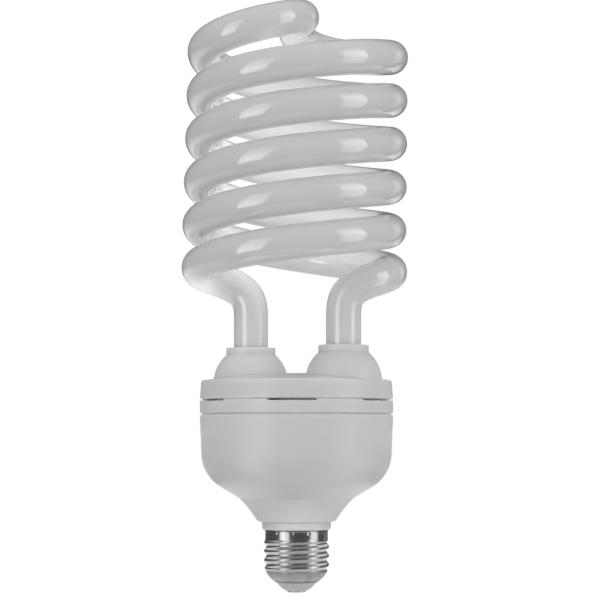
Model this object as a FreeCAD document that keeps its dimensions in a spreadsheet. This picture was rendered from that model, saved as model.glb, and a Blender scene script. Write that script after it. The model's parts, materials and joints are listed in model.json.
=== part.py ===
import FreeCAD, Part
import Sketcher
import math
import os

# Self-ballasted spiral discharge lamp, cap down.
# Frame: millimetres, +Z up along the cap's axis, origin at the middle of the
# centre contact's flat face.

V = FreeCAD.Vector
os.makedirs("parts", exist_ok=True)
doc = FreeCAD.newDocument("SpiralLamp")

# ---------------------------------------------------------------- dimensions
sheet = doc.addObject("Spreadsheet::Sheet", "Dims")
NUM = {}


def dim(alias, value, note):
    row = len(NUM) + 1
    sheet.set("A%d" % row, note)
    sheet.set("B%d" % row, repr(float(value)))
    sheet.setAlias("B%d" % row, alias)
    NUM[alias] = float(value)


# discharge tube
dim("tube_r", 6.95, "outside radius of the glass tube")
dim("coil_r", 38.6, "centreline radius of the coil at its lower end")
dim("coil_taper", 0.7, "loss of centreline radius over five half turns")
dim("coil_pitch", 35.3, "rise of one strand in a full turn")
dim("coil_z", 129.0, "centreline height where the coil begins")
dim("coil_end", 923.0, "angle at which a strand leaves the coil for the crossing, degrees")
dim("coil_lean", 0.020, "lean of the coil towards +X, radians")
dim("lean_z", 190.0, "height at which the leaning coil is on the cap's axis")
dim("start_lift", 1.2, "extra rise in the first half turn of the front strand")
dim("lobe_out", 0.9, "extra reach of the front strand's first bend")
dim("leg_x", 18.74, "leg axis, X")
dim("leg_y", 14.0, "leg axis, distance in Y")
dim("leg_end_z", 82.0, "lower end of the legs")
dim("leg_bend_z", 118.4, "height of the front leg's bend point")
dim("rear_bend", 1.0, "rear leg's bend point above the front leg's")
dim("lobe_rise", 1.6, "rise of the front strand where it starts")
# cover
dim("rim_r", 38.95, "outside radius of the housing at its seams")
dim("seam_depth", 1.25, "depth of the V grooves at the seams")
dim("seam_half", 0.55, "half height of the V grooves")
dim("cover_z", 77.2, "seam between the vent ring and the cover")
dim("cover_top_r", 38.45, "cover rim radius at its upper edge")
dim("cover_edge_z", 84.15, "lower end of the rounded upper edge")
dim("cover_edge", 0.80, "radius of the rounded upper edge")
dim("cover_flat_r", 37.70, "radius where the domed top begins")
dim("cover_flat_z", 84.95, "height where the domed top begins")
dim("crown_z", 87.90, "crown of the domed top")
dim("cover_in_r", 36.95, "inside radius of the cover rim")
dim("cover_wall", 1.70, "wall of the domed top")
dim("dome_r", 15.20, "socket dome radius at its base")
dim("dome_base_z", 85.60, "socket dome base")
dim("dome_top_r", 10.15, "socket dome radius under the collar")
dim("dome_top_z", 95.70, "socket dome top")
dim("dome_rad", 15.4, "radius of the dome's side")
dim("collar_r", 10.05, "socket collar outside radius")
dim("collar_z", 98.65, "socket collar top")
dim("bore_r", 7.70, "socket bore radius")
dim("hollow_r", 12.0, "hollow under a socket dome, radius")
# vent ring
dim("ring_z", 71.4, "seam between the housing and the vent ring")
dim("slot_z", 76.45, "lower edge of the vent slots")
dim("slot_angle", 29.0, "width of a vent slot, degrees")
dim("slot_start", -32.75, "azimuth of one vent slot, degrees")
dim("slot_count", 6, "vent slots round the ring")
dim("lip_r", 36.75, "upper lip outside radius")
dim("lip_z", 79.6, "upper lip top")
dim("spigot_r", 36.50, "lower spigot outside radius")
dim("ring_in_r", 35.20, "inside radius of the vent ring")
dim("key_w", 1.6, "width of the locating key in the lower groove")
dim("key_x", -1.7, "middle of the locating key, X")
# housing
dim("house_in_r", 36.70, "inside radius of the housing's straight wall")
dim("bowl_z", 55.3, "lower end of the straight wall")
dim("bowl_top_r", 38.33, "radius there")
dim("bowl_rad", 16.0, "radius of the bowl's turn")
dim("bowl_low_r", 30.40, "lower end of the turn, radius")
dim("bowl_low_z", 42.10, "lower end of the turn, height")
dim("crease_r", 23.00, "crease above the neck cone, radius")
dim("crease_z", 37.60, "crease above the neck cone, height")
dim("cone_rad", 46.0, "hollow radius of the neck cone")
dim("shoulder_r", 15.80, "shoulder radius")
dim("shoulder_z", 28.60, "shoulder height")
dim("neck_r", 13.90, "neck collar radius")
dim("neck_top_z", 27.95, "neck collar top")
dim("neck_z", 25.05, "neck collar lower face, on the cap's rim")
dim("tail_r", 11.50, "neck tail inside the cap, outside radius")
dim("tail_in_r", 10.00, "neck tail inside radius")
dim("tail_z", 12.50, "neck tail lower end")
dim("rib_r", 34.60, "inner edge of the board ribs")
dim("rib_w", 2.4, "width of a board rib")
dim("rib_count", 6, "board ribs")
# cap
dim("thread_r", 12.65, "mean radius of the rolled thread")
dim("thread_half", 0.45, "half depth of the rolled thread")
dim("thread_pitch", 3.629, "thread pitch")
dim("thread_phase", 14.58, "height of a crest on the +X side")
dim("shell_t", 0.35, "shell thickness")
dim("shell_top_z", 25.05, "shell rim")
dim("shell_low_z", 4.15, "rolled-in edge of the shell")
dim("cone_top_r", 8.05, "insulator radius at the shell's edge")
dim("cone_bulge", 10.0, "bulge radius of the insulator cone")
dim("contact_r", 3.60, "contact radius")
dim("contact_t", 0.50, "contact head thickness")
dim("shank_r", 1.20, "contact shank radius")
dim("shank_z", 8.0, "contact shank top")
# board and parts on it
dim("board_z", 64.5, "underside of the circuit board")
dim("board_t", 1.6, "circuit board thickness")
dim("board_r", 36.2, "circuit board radius")
dim("cap_r", 9.0, "bulk capacitor radius")
dim("cap_len", 28.0, "bulk capacitor length")
dim("cap_y", 2.0, "bulk capacitor axis, Y")
dim("choke_x", -21.0, "choke axis, X")
dim("core_w", 25.0, "choke core width")
dim("core_t", 7.0, "choke core thickness")
dim("core_h", 9.0, "height of one core half")
dim("core_z", 45.0, "lower end of the choke core")
dim("core_leg", 3.5, "width of a core's outer leg and yoke")
dim("window_w", 5.5, "core window width")
dim("bobbin_w", 17.2, "bobbin flange width")
dim("bobbin_in", 7.3, "bobbin opening")
dim("bobbin_core", 8.8, "bobbin tube width")
dim("bobbin_h", 10.6, "bobbin height")
dim("flange_t", 0.8, "bobbin flange thickness")
dim("coil_w", 15.8, "choke winding width")
dim("lead_r", 0.35, "component lead radius")
dim("ring_core_r", 6.5, "drive toroid outside radius")
dim("ring_core_in", 3.75, "drive toroid inside radius")
dim("ring_core_h", 5.0, "drive toroid height")
dim("turn_r", 3.30, "radius of a turn round the toroid's section")
dim("wire_r", 0.30, "toroid wire radius")
dim("sink_w", 36.0, "heat sink width")
dim("sink_t", 1.5, "heat sink thickness")
dim("sink_h", 15.0, "heat sink height")
dim("sink_y", 22.0, "heat sink face, Y")
dim("sink_x", 5.0, "heat sink middle, X")
dim("chip_w", 10.0, "transistor width")
dim("chip_t", 4.4, "transistor thickness")
dim("chip_h", 9.0, "transistor body height")
dim("tab_t", 1.3, "transistor tab thickness")
dim("tab_h", 5.0, "transistor tab height beyond the body")
dim("screw_r", 1.5, "screw radius")
dim("post_r", 0.5, "wire post radius")
dim("post_h", 5.0, "wire post height")
dim("cable_r", 0.65, "insulated wire radius")
dim("fuse_r", 2.0, "fuse resistor radius")
doc.recompute()


class Q:
    """A size: its value and the sheet expression that drives it."""

    def __init__(self, value, text):
        self.v = value
        self.e = text

    @staticmethod
    def of(x):
        return x if isinstance(x, Q) else Q(float(x), "(%r)" % float(x))

    def __add__(self, o):
        o = Q.of(o)
        return Q(self.v + o.v, "(%s + %s)" % (self.e, o.e))

    def __sub__(self, o):
        o = Q.of(o)
        return Q(self.v - o.v, "(%s - %s)" % (self.e, o.e))

    def __mul__(self, o):
        o = Q.of(o)
        return Q(self.v * o.v, "(%s * %s)" % (self.e, o.e))

    def __truediv__(self, o):
        o = Q.of(o)
        return Q(self.v / o.v, "(%s / %s)" % (self.e, o.e))

    def __neg__(self):
        return Q(-self.v, "(0 - %s)" % self.e)

    def __radd__(self, o):
        return Q.of(o) + self

    def __rsub__(self, o):
        return Q.of(o) - self


def d(alias):
    return Q(NUM[alias], "Dims.%s" % alias)


NODES = []


def node(obj, label):
    obj.Label = label
    NODES.append(obj)
    return obj


def place(obj, x, y, z, rot=None):
    x, y, z = Q.of(x), Q.of(y), Q.of(z)
    obj.Placement = FreeCAD.Placement(V(x.v, y.v, z.v), rot or FreeCAD.Rotation())
    for axis, q in (("x", x), ("y", y), ("z", z)):
        obj.setExpression("Placement.Base.%s" % axis, q.e)
    return obj


ALONG_X = FreeCAD.Rotation(V(0, 1, 0), 90)
ALONG_Y = FreeCAD.Rotation(V(1, 0, 0), -90)


def cyl(name, r, length, x, y, z, rot=None):
    o = doc.addObject("Part::Cylinder", name)
    o.setExpression("Radius", Q.of(r).e)
    o.setExpression("Height", Q.of(length).e)
    return place(o, x, y, z, rot)


def box(name, sx, sy, sz, x, y, z):
    """A block with its middle at x, y and its lower face at z."""
    sx, sy, sz = Q.of(sx), Q.of(sy), Q.of(sz)
    o = doc.addObject("Part::Box", name)
    o.setExpression("Length", sx.e)
    o.setExpression("Width", sy.e)
    o.setExpression("Height", sz.e)
    return place(o, Q.of(x) - sx / 2, Q.of(y) - sy / 2, z)


def torus(name, big, small, x, y, z, rot=None):
    o = doc.addObject("Part::Torus", name)
    o.setExpression("Radius1", Q.of(big).e)
    o.setExpression("Radius2", Q.of(small).e)
    return place(o, x, y, z, rot)


def fuse(name, items):
    o = doc.addObject("Part::MultiFuse", name)
    o.Shapes = items
    return o


def cut(name, base, tool):
    o = doc.addObject("Part::Cut", name)
    o.Base = base
    o.Tool = tool
    return o


def origin_plane(body, role):
    for f in body.Origin.OriginFeatures:
        if f.Role == role:
            return f
    raise RuntimeError("no plane " + role)


def sketch_on(body, name, role):
    sk = body.newObject("Sketcher::SketchObject", name)
    sk.AttachmentSupport = [(origin_plane(body, role), "")]
    sk.MapMode = "FlatFace"
    return sk


CROWN = "crown"


def outline(sk, pts):
    """Closed outline. Each point is (x, y) or (x, y, bend): bend is the signed
    radius of the arc to the next point, positive when it turns left, or CROWN
    for a left-turning arc to a point on the axis whose centre is on the axis."""
    pts = [tuple([Q.of(p[0]), Q.of(p[1])] + [b if b is CROWN else Q.of(b) for b in p[2:]]) for p in pts]
    n = len(pts)
    ends = []
    for i, p in enumerate(pts):
        q = pts[(i + 1) % n]
        a, b = V(p[0].v, p[1].v, 0), V(q[0].v, q[1].v, 0)
        if len(p) == 2:
            g = sk.addGeometry(Part.LineSegment(a, b), False)
            ends.append((g, 1, 2, None))
            continue
        if p[2] is CROWN:
            rise = b.y - a.y
            r = (a.x ** 2 + rise ** 2) / (2 * rise)
        else:
            r = p[2].v
        mid, half = (a + b) * 0.5, (b - a) * 0.5
        side = V(-half.y, half.x, 0).normalize()
        reach = math.sqrt(max(r * r - half.Length ** 2, 0.0))
        centre = mid + side * (reach if r > 0 else -reach)
        a0 = math.atan2(a.y - centre.y, a.x - centre.x)
        b0 = math.atan2(b.y - centre.y, b.x - centre.x)
        circle = Part.Circle(centre, V(0, 0, 1), abs(r))
        if r > 0:
            g = sk.addGeometry(Part.ArcOfCircle(circle, a0, b0 if b0 > a0 else b0 + 2 * math.pi), False)
            ends.append((g, 1, 2, p[2]))
        else:
            g = sk.addGeometry(Part.ArcOfCircle(circle, b0, a0 if a0 > b0 else a0 + 2 * math.pi), False)
            ends.append((g, 2, 1, -p[2]))
    for i in range(n):
        g0, _, e0, _ = ends[i - 1]
        g1, s1, _, _ = ends[i]
        sk.addConstraint(Sketcher.Constraint("Coincident", g0, e0, g1, s1))
    for i, p in enumerate(pts):
        g, s, _, _ = ends[i]
        if abs(p[0].v) < 1e-9:
            sk.addConstraint(Sketcher.Constraint("PointOnObject", g, s, -2))
        else:
            c = sk.addConstraint(Sketcher.Constraint("DistanceX", -1, 1, g, s, p[0].v))
            sk.setExpression("Constraints[%d]" % c, p[0].e)
        if abs(p[1].v) < 1e-9:
            sk.addConstraint(Sketcher.Constraint("PointOnObject", g, s, -1))
        else:
            c = sk.addConstraint(Sketcher.Constraint("DistanceY", -1, 1, g, s, p[1].v))
            sk.setExpression("Constraints[%d]" % c, p[1].e)
    for g, _, _, r in ends:
        if r is CROWN:
            sk.addConstraint(Sketcher.Constraint("PointOnObject", g, 3, -2))
        elif r is not None:
            c = sk.addConstraint(Sketcher.Constraint("Radius", g, r.v))
            sk.setExpression("Constraints[%d]" % c, r.e)
    doc.recompute()
    return sk


def turned(body, name, pts, kind="PartDesign::Revolution", dx=None, dy=None, angle=None, swing=None):
    """A turned feature about Z, or about an upright axis at dx, dy."""
    sk = sketch_on(body, name + "Sketch", "XZ_Plane")
    if dx is not None:
        sk.AttachmentOffset = FreeCAD.Placement(V(dx.v, 0, -dy.v), FreeCAD.Rotation())
        sk.setExpression("AttachmentOffset.Base.x", dx.e)
        sk.setExpression("AttachmentOffset.Base.z", (-dy).e)
    if swing is not None:
        sk.AttachmentOffset = FreeCAD.Placement(V(0, 0, 0), FreeCAD.Rotation(V(0, 1, 0), swing.v))
        sk.setExpression("AttachmentOffset.Rotation.Angle", swing.e)
    outline(sk, pts)
    before = body.Shape.Volume if body.Shape and not body.Shape.isNull() else 0.0
    f = body.newObject(kind, name)
    f.Profile = sk
    f.ReferenceAxis = (sk, ["V_Axis"])
    f.Angle = 360.0
    if angle is not None:
        f.setExpression("Angle", angle.e)
        f.Midplane = True
    doc.recompute()
    after = body.Shape.Volume
    grew = after - before
    if (kind.endswith("Groove") and grew > -1e-3) or (kind.endswith("Revolution") and grew < 1e-3):
        raise RuntimeError("%s changed the volume by %.4f" % (name, grew))
    return f


def new_body(label):
    body = doc.addObject("PartDesign::Body", label)
    return node(body, label)


def bent_route(points):
    """Straight runs joined by tangent arcs; returns the wire, its length and the radii."""
    n = len(points)
    joints = [(points[i] + points[i + 1]) * 0.5 for i in range(n - 1)]
    joints[0], joints[-1] = points[0], points[-1]
    edges, radii, here, length = [], [], points[0], 0.0
    for i in range(1, n - 1):
        p = points[i]
        e0, e1 = p - joints[i - 1], joints[i] - p
        reach = min(e0.Length, e1.Length)
        e0.normalize()
        e1.normalize()
        turn = math.acos(max(-1.0, min(1.0, e0.dot(e1))))
        r = reach / math.tan(turn / 2)
        radii.append(r)
        start, stop = p - e0 * reach, p + e1 * reach
        inward = (e1 - e0).normalize()
        middle = p + inward * (r / math.cos(turn / 2) - r)
        if (start - here).Length > 1e-4:
            edges.append(Part.LineSegment(here, start).toShape())
            length += (start - here).Length
        else:
            start = here
        edges.append(Part.Arc(start, middle, stop).toShape())
        length += r * turn
        here = stop
    if (points[-1] - here).Length > 1e-4:
        edges.append(Part.LineSegment(here, points[-1]).toShape())
        length += (points[-1] - here).Length
    return Part.Wire(edges), length, radii


def tube_along(points, r, what):
    wire, length, radii = bent_route(points)
    ring = Part.Wire(Part.Circle(points[0], points[1] - points[0], r).toShape())
    solid = wire.makePipeShell([ring], True, False)
    want = math.pi * r * r * length
    if not solid.isValid() or abs(solid.Volume - want) > 0.01 * want:
        raise RuntimeError("%s: volume %.1f, section times length %.1f" % (what, solid.Volume, want))
    print("%s: length %.1f, volume %.1f of %.1f, least bend radius %.1f" % (what, length, solid.Volume, want, min(radii)))
    return solid


# ------------------------------------------------------------ discharge tube
# Both strands climb as right-hand coils, half a turn apart. The front strand
# starts on the front right leg, the rear strand on the rear left leg, and they
# join over the top in an S-shaped crossing through the axis.
CROSSING = [(-60, 0.0), (-48, 2.6), (-36, 5.9), (-24, 9.3), (-12, 12.0), (-5, 12.6), (0, 12.2),
            (8, 10.2), (16, 7.4), (26, 4.6), (38, 2.5), (49, 1.2), (60, 0.0)]


def crossing_rise(s):
    for (s0, z0), (s1, z1) in zip(CROSSING, CROSSING[1:]):
        if s0 <= s <= s1:
            return z0 + (z1 - z0) * (s - s0) / (s1 - s0)
    return 0.0


# Control points of the two elbows from the bend point: X, share of lobe_out, Y, Z, share of the lean.
FRONT_ELBOW = ((7.0, 0, -0.6, 4.85, 0.35), (14.38, 1, 2.2, 7.9, 0.8), (19.68, 1, 9.7, 10.2, 1.0))
REAR_ELBOW = ((6.51, 0, -0.4, 4.9, 0.35), (14.21, 1, 2.4, 7.4, 0.8), (19.16, 1, 9.7, 8.6, 1.0))


def strand(front):
    g = {k: float(sheet.get(k)) for k in (
        "coil_r", "coil_taper", "coil_pitch", "coil_z", "coil_end", "coil_lean", "lean_z",
        "start_lift", "lobe_out", "lobe_rise", "leg_x", "leg_y", "leg_end_z", "leg_bend_z", "rear_bend")}
    out = g["lobe_out"] if front else 0.0
    bend = g["leg_bend_z"] + (0.0 if front else g["rear_bend"])
    pts = [(g["leg_x"], -g["leg_y"], z, 0.0) for z in (g["leg_end_z"], bend)]
    elbow = FRONT_ELBOW if front else REAR_ELBOW
    pts += [(g["leg_x"] + x + k * out, -g["leg_y"] + y, bend + z, lean) for x, k, y, z, lean in elbow]
    count = 31
    step = math.radians(g["coil_end"]) / count
    for i in range(count):
        a = step * (i + 0.5)
        half_turns = a / math.pi
        r = g["coil_r"] - g["coil_taper"] * half_turns / 5
        if front and i == 0:
            r += 0.45 * out
        r /= math.cos(step / 2)
        z = g["coil_z"] + g["coil_pitch"] * half_turns / 2
        if front and half_turns < 1:
            z += g["start_lift"] * math.sin(math.pi * half_turns)
        if front and half_turns < 0.5:
            z += g["lobe_rise"] * (1 - 2 * half_turns) ** 2
        pts.append((r * math.cos(a), r * math.sin(a), z, 1.0))
    end = math.radians(g["coil_end"])
    half = 0.5 * (g["coil_r"] - g["coil_taper"] * g["coil_end"] / 900.0)
    z_end = g["coil_z"] + g["coil_pitch"] * g["coil_end"] / 360.0
    for i in range(6):
        a = end + math.pi * (i + 0.5) / 6
        q = half / math.cos(math.pi / 12)
        s = 60.0 * (1 - (i + 0.5) / 6)
        pts.append((half * math.cos(end) + q * math.cos(a), half * math.sin(end) + q * math.sin(a),
                    z_end + crossing_rise(-s if front else s), 1.0))
    side = 1.0 if front else -1.0
    route = []
    for x, y, z, lean in pts:
        x, y = side * x, side * y
        route.append(V(x + lean * g["coil_lean"] * (z - g["lean_z"]), y, z - lean * g["coil_lean"] * x))
    return route


tube = doc.addObject("Part::Feature", "DischargeTube")
tube.Shape = tube_along(strand(True) + strand(False)[::-1], float(sheet.get("tube_r")), "discharge_tube")
node(tube, "discharge_tube")

# -------------------------------------------------------------- cover (top)
cover = new_body("tube_holder_cover")
turned(cover, "CoverBody", [
    (0, d("cover_z")), (d("rim_r") - d("seam_depth"), d("cover_z")),
    (d("rim_r"), d("cover_z") + d("seam_half")), (d("cover_top_r"), d("cover_edge_z"), d("cover_edge")),
    (d("cover_flat_r"), d("cover_flat_z"), CROWN), (0, d("crown_z"))])
LEGS = (("front", d("leg_x"), -d("leg_y")), ("rear", -d("leg_x"), d("leg_y")))
for side, lx, ly in LEGS:
    turned(cover, "Dome_" + side, [
        (0, d("cover_edge_z")), (d("dome_r"), d("cover_edge_z")),
        (d("dome_r"), d("dome_base_z"), d("dome_rad")), (d("dome_top_r"), d("dome_top_z")),
        (d("collar_r"), d("dome_top_z") + 0.1), (d("collar_r"), d("collar_z") - 0.25),
        (d("collar_r") - 0.25, d("collar_z")), (0, d("collar_z"))], dx=lx, dy=ly)
turned(cover, "RimTrim", [
    (d("cover_top_r"), d("cover_edge_z")), (60, d("cover_edge_z")), (60, 105), (d("cover_top_r"), 105)],
    kind="PartDesign::Groove")
turned(cover, "CoverHollow", [
    (0, d("cover_z") - 2), (d("cover_in_r"), d("cover_z") - 2), (d("cover_in_r"), d("cover_flat_z") - d("cover_wall") - 0.8),
    (d("cover_in_r") - 0.8, d("cover_flat_z") - d("cover_wall"), CROWN), (0, d("crown_z") - d("cover_wall"))],
    kind="PartDesign::Groove")
for side, lx, ly in LEGS:
    turned(cover, "Socket_" + side, [
        (0, d("cover_z")), (d("hollow_r"), d("cover_z")), (d("hollow_r"), d("dome_base_z") + 1.4),
        (d("bore_r") + 0.9, d("dome_top_z") - 1.6), (d("bore_r"), d("dome_top_z") - 1.0),
        (d("bore_r"), d("collar_z") + 2), (0, d("collar_z") + 2)], kind="PartDesign::Groove", dx=lx, dy=ly)

# ----------------------------------------------------------------- vent ring
ring = new_body("vent_ring")
turned(ring, "RingBody", [
    (d("ring_in_r"), d("board_z") + d("board_t")), (d("spigot_r"), d("board_z") + d("board_t")), (d("spigot_r"), d("ring_z")),
    (d("rim_r") - d("seam_depth"), d("ring_z")), (d("rim_r"), d("ring_z") + d("seam_half")),
    (d("rim_r"), d("cover_z") - d("seam_half")), (d("rim_r") - d("seam_depth"), d("cover_z")),
    (d("lip_r"), d("cover_z")), (d("lip_r"), d("lip_z")), (d("ring_in_r"), d("lip_z"))])
key = sketch_on(ring, "KeySketch", "XY_Plane")
key.AttachmentOffset = FreeCAD.Placement(V(0, 0, NUM["ring_z"]), FreeCAD.Rotation())
key.setExpression("AttachmentOffset.Base.z", d("ring_z").e)
outline(key, [(d("key_x") - d("key_w") / 2, -(d("rim_r") - 0.1)), (d("key_x") + d("key_w") / 2, -(d("rim_r") - 0.1)),
              (d("key_x") + d("key_w") / 2, -(d("rim_r") - 1.6)), (d("key_x") - d("key_w") / 2, -(d("rim_r") - 1.6))])
pad = ring.newObject("PartDesign::Pad", "Key")
pad.Profile = key
pad.setExpression("Length", (d("seam_half") * 2).e)
doc.recompute()
solid_ring = ring.Shape.Volume
slot = turned(ring, "VentSlot", [
    (d("ring_in_r") - 1, d("slot_z")), (d("rim_r") + 1, d("slot_z")), (d("rim_r") + 1, d("lip_z") + 1),
    (d("ring_in_r") - 1, d("lip_z") + 1)], kind="PartDesign::Groove", angle=d("slot_angle"), swing=d("slot_start"))
one_slot = solid_ring - ring.Shape.Volume
spread = ring.newObject("PartDesign::PolarPattern", "VentSlots")
spread.Originals = [slot]
spread.Axis = (ring.getObject("VentSlotSketch"), ["V_Axis"])
spread.Angle = 360.0
spread.setExpression("Occurrences", d("slot_count").e)
ring.Tip = spread
doc.recompute()
if abs((solid_ring - ring.Shape.Volume) - NUM["slot_count"] * one_slot) > 0.05 * one_slot:
    raise RuntimeError("vent slots: pattern not cut")

# ------------------------------------------------------------------- housing
house = new_body("ballast_housing")
turned(house, "HouseBody", [
    (d("house_in_r"), d("ring_z")), (d("house_in_r"), d("bowl_z"), -(d("bowl_rad") - 1.8)),
    (d("bowl_low_r") - 1.15, d("bowl_low_z") + 1.6), (d("crease_r") - 1.6, d("crease_z") + 1.2),
    (d("shoulder_r") - 1.9, d("shoulder_z") + 1.3), (d("tail_in_r"), d("neck_top_z") - 0.6), (d("tail_in_r"), d("tail_z")),
    (d("tail_r") - 0.3, d("tail_z")), (d("tail_r"), d("tail_z") + 0.3), (d("tail_r"), d("neck_z")), (d("neck_r") - 0.55, d("neck_z")),
    (d("neck_r") - 0.12, d("neck_z") + 0.55), (d("neck_r") + 0.05, d("neck_top_z")), (d("shoulder_r"), d("shoulder_z"), -d("cone_rad")),
    (d("crease_r"), d("crease_z")), (d("bowl_low_r"), d("bowl_low_z"), d("bowl_rad")), (d("bowl_top_r"), d("bowl_z")),
    (d("rim_r"), d("ring_z") - d("seam_half")), (d("rim_r") - d("seam_depth"), d("ring_z"))])
rib = sketch_on(house, "RibSketch", "XY_Plane")
rib.AttachmentOffset = FreeCAD.Placement(V(0, 0, 50.0), FreeCAD.Rotation())
rib.setExpression("AttachmentOffset.Base.z", (d("board_z") - 14.5).e)
outline(rib, [(d("rib_r"), -(d("rib_w") / 2)), (d("house_in_r") + 0.6, -(d("rib_w") / 2)),
              (d("house_in_r") + 0.6, d("rib_w") / 2), (d("rib_r"), d("rib_w") / 2)])
bare = house.Shape.Volume
ribpad = house.newObject("PartDesign::Pad", "Rib")
ribpad.Profile = rib
ribpad.Length = 14.5
doc.recompute()
one_rib = house.Shape.Volume - bare
ribs = house.newObject("PartDesign::PolarPattern", "Ribs")
ribs.Originals = [ribpad]
ribs.Axis = (house.getObject("HouseBodySketch"), ["V_Axis"])
ribs.Angle = 360.0
ribs.setExpression("Occurrences", d("rib_count").e)
house.Tip = ribs
doc.recompute()
if abs((house.Shape.Volume - bare) - NUM["rib_count"] * one_rib) > 0.05 * one_rib:
    raise RuntimeError("ribs: pattern not added")

# ------------------------------------------------------------- cement rings
for side, lx, ly in LEGS:
    outer = cyl("CementOuter_" + side, d("bore_r"), d("collar_z") - d("dome_top_z") + 0.3, lx, ly, d("dome_top_z") - 0.9)
    inner = cyl("CementInner_" + side, d("tube_r"), d("collar_z") - d("dome_top_z") + 2.3, lx, ly, d("dome_top_z") - 1.9)
    node(cut("Cement_" + side, outer, inner), "tube_cement_" + side)

# ----------------------------------------------------------------------- cap
# Rolled shell: its radius is a single-valued function of angle and height, so
# the outer and inner skins are two closed spline surfaces with the thread in
# them, joined by flat rings at the two edges.
s_mean, s_half = float(sheet.get("thread_r")), float(sheet.get("thread_half"))
s_pitch, s_phase = float(sheet.get("thread_pitch")), float(sheet.get("thread_phase"))
s_top, s_low, s_t = float(sheet.get("shell_top_z")), float(sheet.get("shell_low_z")), float(sheet.get("shell_t"))
END = [(s_low, 8.60), (4.7, 9.20), (5.5, 10.22), (6.3, 10.98), (7.1, 11.62), (7.9, 12.12), (8.7, 12.45), (9.6, s_mean)]


def ease(x, a, b):
    u = max(0.0, min(1.0, (x - a) / (b - a)))
    return u * u * (3 - 2 * u)


def shell_radius(angle, z):
    if z < END[-1][0]:
        base = END[0][1]
        for (z0, r0), (z1, r1) in zip(END, END[1:]):
            if z0 <= z <= z1:
                base = r0 + (r1 - r0) * (z - z0) / (z1 - z0)
    else:
        base = s_mean - 0.05 * ease(z, 20.2, 22.0) + 0.22 * ease(z, 24.2, 24.95)
    amount = ease(z + 0.5 * math.cos(angle + math.pi / 4), 8.3, 10.1) * (1 - ease(z, 19.6, 21.4))
    return base + amount * s_half * math.cos(2 * math.pi * ((z - s_phase) / s_pitch - angle / (2 * math.pi)))


ROUND = 48
HEIGHTS = [s_low + (s_top - s_low) * j / 64.0 for j in range(65)]


def skin(inset):
    fit = 3.0 / (2.0 + math.cos(2 * math.pi / ROUND))
    poles = []
    for i in range(ROUND):
        a = 2 * math.pi * i / ROUND
        row = []
        for z in HEIGHTS:
            r = shell_radius(a, z) - inset * (1.0 + 0.6 * (1 - ease(z, 6.5, 9.5)))
            row.append(V(r * fit * math.cos(a), r * fit * math.sin(a), z))
        poles.append(row)
    m = len(HEIGHTS)
    surf = Part.BSplineSurface()
    surf.buildFromPolesMultsKnots(poles, [1] * (ROUND + 1), [4] + [1] * (m - 4) + [4],
                                  [float(i) for i in range(ROUND + 1)], [float(j) for j in range(m - 2)],
                                  True, False, 3, 3)
    return surf.toShape()


def end_edge(face, z):
    for e in face.Edges:
        if all(abs(p.z - z) < 1e-4 for p in e.discretize(9)):
            return e
    raise RuntimeError("no edge at %.3f" % z)


outside, inside = skin(0.0), skin(s_t)
caps = []
for z in (s_low, s_top):
    caps.append(Part.makeFace([Part.Wire(end_edge(outside, z)), Part.Wire(end_edge(inside, z))], "Part::FaceMakerBullseye"))
sewn = Part.makeShell([outside, inside] + caps)
sewn.sewShape()
shell_solid = Part.makeSolid(Part.Shell(sewn.Faces))
if shell_solid.Volume < 0:
    shell_solid.reverse()
shell = doc.addObject("Part::Feature", "ScrewShell")
shell.Shape = shell_solid
node(shell, "screw_shell")

insulator = new_body("cap_insulator")
turned(insulator, "InsulatorBody", [
    (d("shank_r"), d("contact_t")), (d("contact_r") + 0.25, d("contact_t")), (d("contact_r") + 0.6, d("contact_t") + 0.12, d("cone_bulge")),
    (d("cone_top_r"), d("shell_low_z") - 0.1), (d("cone_top_r") - 0.1, d("shell_low_z")),
    (d("cone_top_r") - 0.25, d("shell_low_z") + 0.1), (8.55, 5.2), (9.25, 6.0), (10.0, 7.0), (9.6, 7.0), (3.2, 6.2), (d("shank_r"), 6.2)])

contact = new_body("centre_contact")
turned(contact, "ContactBody", [
    (0, 0), (d("contact_r") - 0.25, 0), (d("contact_r"), 0.2), (d("contact_r"), d("contact_t")), (d("shank_r"), d("contact_t")),
    (d("shank_r"), d("shank_z") - 0.3), (d("shank_r") - 0.3, d("shank_z")), (0, d("shank_z"))])

# ------------------------------------------------------------- circuit board
board = new_body("circuit_board")
disc = sketch_on(board, "BoardSketch", "XY_Plane")
disc.AttachmentOffset = FreeCAD.Placement(V(0, 0, NUM["board_z"]), FreeCAD.Rotation())
disc.setExpression("AttachmentOffset.Base.z", d("board_z").e)
disc.addGeometry(Part.Circle(V(0, 0, 0), V(0, 0, 1), NUM["board_r"]), False)
disc.addConstraint(Sketcher.Constraint("Coincident", 0, 3, -1, 1))
disc.setExpression("Constraints[%d]" % disc.addConstraint(Sketcher.Constraint("Radius", 0, NUM["board_r"])), d("board_r").e)
plate = board.newObject("PartDesign::Pad", "Board")
plate.Profile = disc
plate.setExpression("Length", d("board_t").e)
doc.recompute()

top = d("board_z") + d("board_t")
under = d("board_z")
posts, leads = [], []
for k, (side, lx, ly) in enumerate(LEGS):
    for m, off in enumerate((-2.4, 2.4)):
        tag = "%d%d" % (k, m)
        px = lx + off
        posts.append(cyl("Post" + tag, d("post_r"), d("post_h"), px, ly, top))
        wrap = cut("LeadWrap" + tag, cyl("LeadWrapOuter" + tag, d("post_r") + 0.5, 1.6, px, ly, top + 1.6),
                   cyl("LeadWrapInner" + tag, d("post_r") + 0.02, 2.6, px, ly, top + 1.1))
        run = cyl("LeadRun" + tag, 0.2, d("leg_end_z") - top - 2.4, px + d("post_r") + 0.26, ly, top + 2.4)
        leads.append(fuse("Lead" + tag, [wrap, run]))
node(fuse("WirePosts", posts), "wire_posts")
node(fuse("TubeLeads", leads), "tube_leads")

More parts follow.
